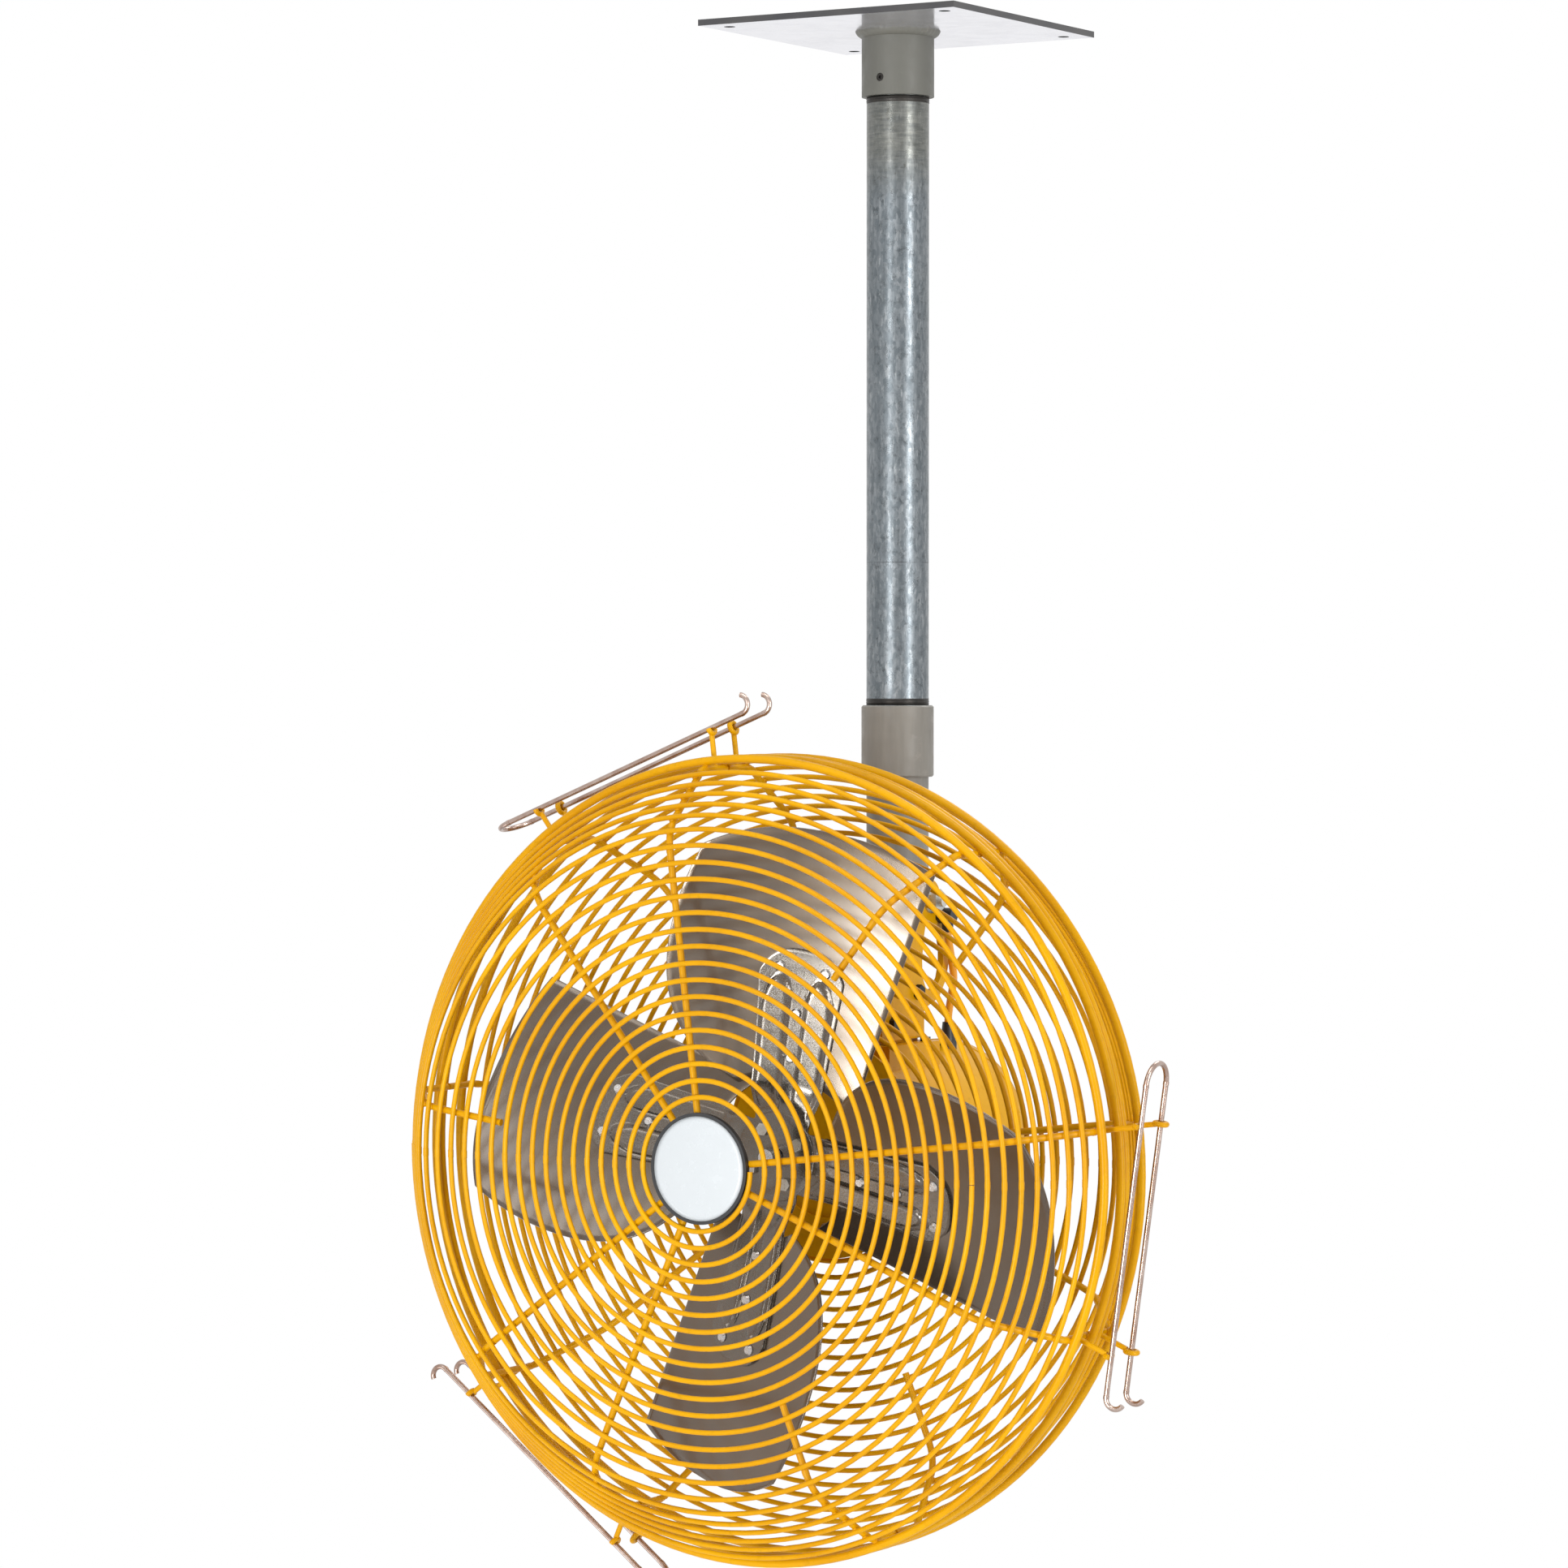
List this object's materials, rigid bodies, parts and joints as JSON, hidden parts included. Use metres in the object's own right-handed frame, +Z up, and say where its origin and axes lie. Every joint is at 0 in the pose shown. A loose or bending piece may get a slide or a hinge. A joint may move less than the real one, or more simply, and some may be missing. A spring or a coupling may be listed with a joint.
{
  "type": "ceiling drop-pipe air circulator fan",
  "caption": "Caged industrial air circulator hung from a ceiling plate on a drop pipe, with a tilting motor head, sheet-metal blades and a clip-on spiral wire guard.",
  "frame": {"origin": "middle of the ceiling plate's top face, on the pipe's axis", "axes": "+Z up along the pipe; the fan's axis is level at rest and the fan blows towards -Y"},
  "size_m": [0.7859, 0.5047, 1.4828],
  "materials": {
    "pale_enamel": "satin",
    "grey_paint": "satin",
    "galvanized": "mottled galvanized zinc",
    "zinc_plate": "zinc plated",
    "black_hardware": "black oxide",
    "yellow_coat": "gloss powder coat",
    "core_steel": "stacked sheets",
    "winding": "varnished",
    "bright_steel": "ground",
    "black_plastic": "matte",
    "yellow_jacket": "satin cable jacket",
    "blade_metal": "metallic grey",
    "spider_metal": "satin",
    "white_plastic": "gloss",
    "clip_wire": "yellow chromate"
  },
  "bodies": {
    "ceiling_mount": {"ceiling_plate": "pale_enamel", "ceiling_socket": "grey_paint", "socket_lock_screw": "black_hardware"},
    "drop": {"drop_pipe": "galvanized", "pipe_coupling": "grey_paint", "stem_pipe": "grey_paint", "pivot_bolt": "zinc_plate", "pivot_nut": "zinc_plate", "pivot_washers": "zinc_plate"},
    "head": {"tilt_ears": "yellow_coat", "motor_saddle": "yellow_coat", "ear_bolts": "black_hardware", "saddle_bolts": "black_hardware", "motor_shell": "yellow_coat", "front_bell": "yellow_coat", "rear_bell": "yellow_coat", "through_bolts": "zinc_plate", "stator_core": "core_steel", "stator_windings": "winding", "front_bearing": "bright_steel", "rear_bearing": "bright_steel", "strain_relief": "black_plastic", "motor_lead": "yellow_jacket", "lead_gland": "black_plastic", "rear_spiral_face": "yellow_coat", "rear_spiral_wall": "yellow_coat", "rear_ribs": "yellow_coat", "rear_hoops": "yellow_coat", "rear_mount_ring": "yellow_coat", "mount_ring_screws": "zinc_plate"},
    "rotor": {"rotor_core": "core_steel", "motor_shaft": "bright_steel", "hub": "bright_steel", "hub_screws": "zinc_plate", "spider": "spider_metal", "blade_1": "blade_metal", "blade_2": "blade_metal", "blade_3": "blade_metal", "blade_4": "blade_metal", "blade_rivets": "bright_steel"},
    "front_guard": {"front_spiral_face": "yellow_coat", "front_spiral_wall": "yellow_coat", "front_ribs": "yellow_coat", "front_hoops": "yellow_coat", "badge_plate": "white_plastic", "badge_rim": "black_plastic", "badge_backing": "zinc_plate", "badge_screw": "white_plastic"},
    "clip_1": {"clip_1": "clip_wire"},
    "clip_2": {"clip_2": "clip_wire"},
    "clip_3": {"clip_3": "clip_wire"}
  },
  "joints": [
    {"name": "pipe_swivel", "type": "hinge", "parent": "ceiling_mount", "child": "drop", "pos_m": [0, 0, -0.054], "axis": [0, 0, 1], "range_deg": [-180, 180]},
    {"name": "head_tilt", "type": "hinge", "parent": "drop", "child": "head", "pos_m": [0, 0, -0.844], "axis": [1, 0, 0], "range_deg": [-35, 45]},
    {"name": "fan_spin", "type": "hinge", "parent": "head", "child": "rotor", "pos_m": [0, -0.224, -1.075], "axis": [0, -1, 0], "continuous": true},
    {"name": "front_guard_lift", "type": "slide", "parent": "head", "child": "front_guard", "axis": [0, -1, 0], "range_m": [0, 0.3]},
    {"name": "clip_1_hinge", "type": "hinge", "parent": "head", "child": "clip_1", "pos_m": [-0.14572, -0.2235, -0.71432], "axis": [-0.9272, 0, -0.3746], "range_deg": [0, 110]},
    {"name": "clip_2_hinge", "type": "hinge", "parent": "head", "child": "clip_2", "pos_m": [-0.23949, -0.2235, -1.38154], "axis": [0.788, 0, -0.6157], "range_deg": [0, 110]},
    {"name": "clip_3_hinge", "type": "hinge", "parent": "head", "child": "clip_3", "pos_m": [0.38521, -0.2235, -1.12914], "axis": [0.1392, 0, 0.9903], "range_deg": [0, 110]}
  ]
}
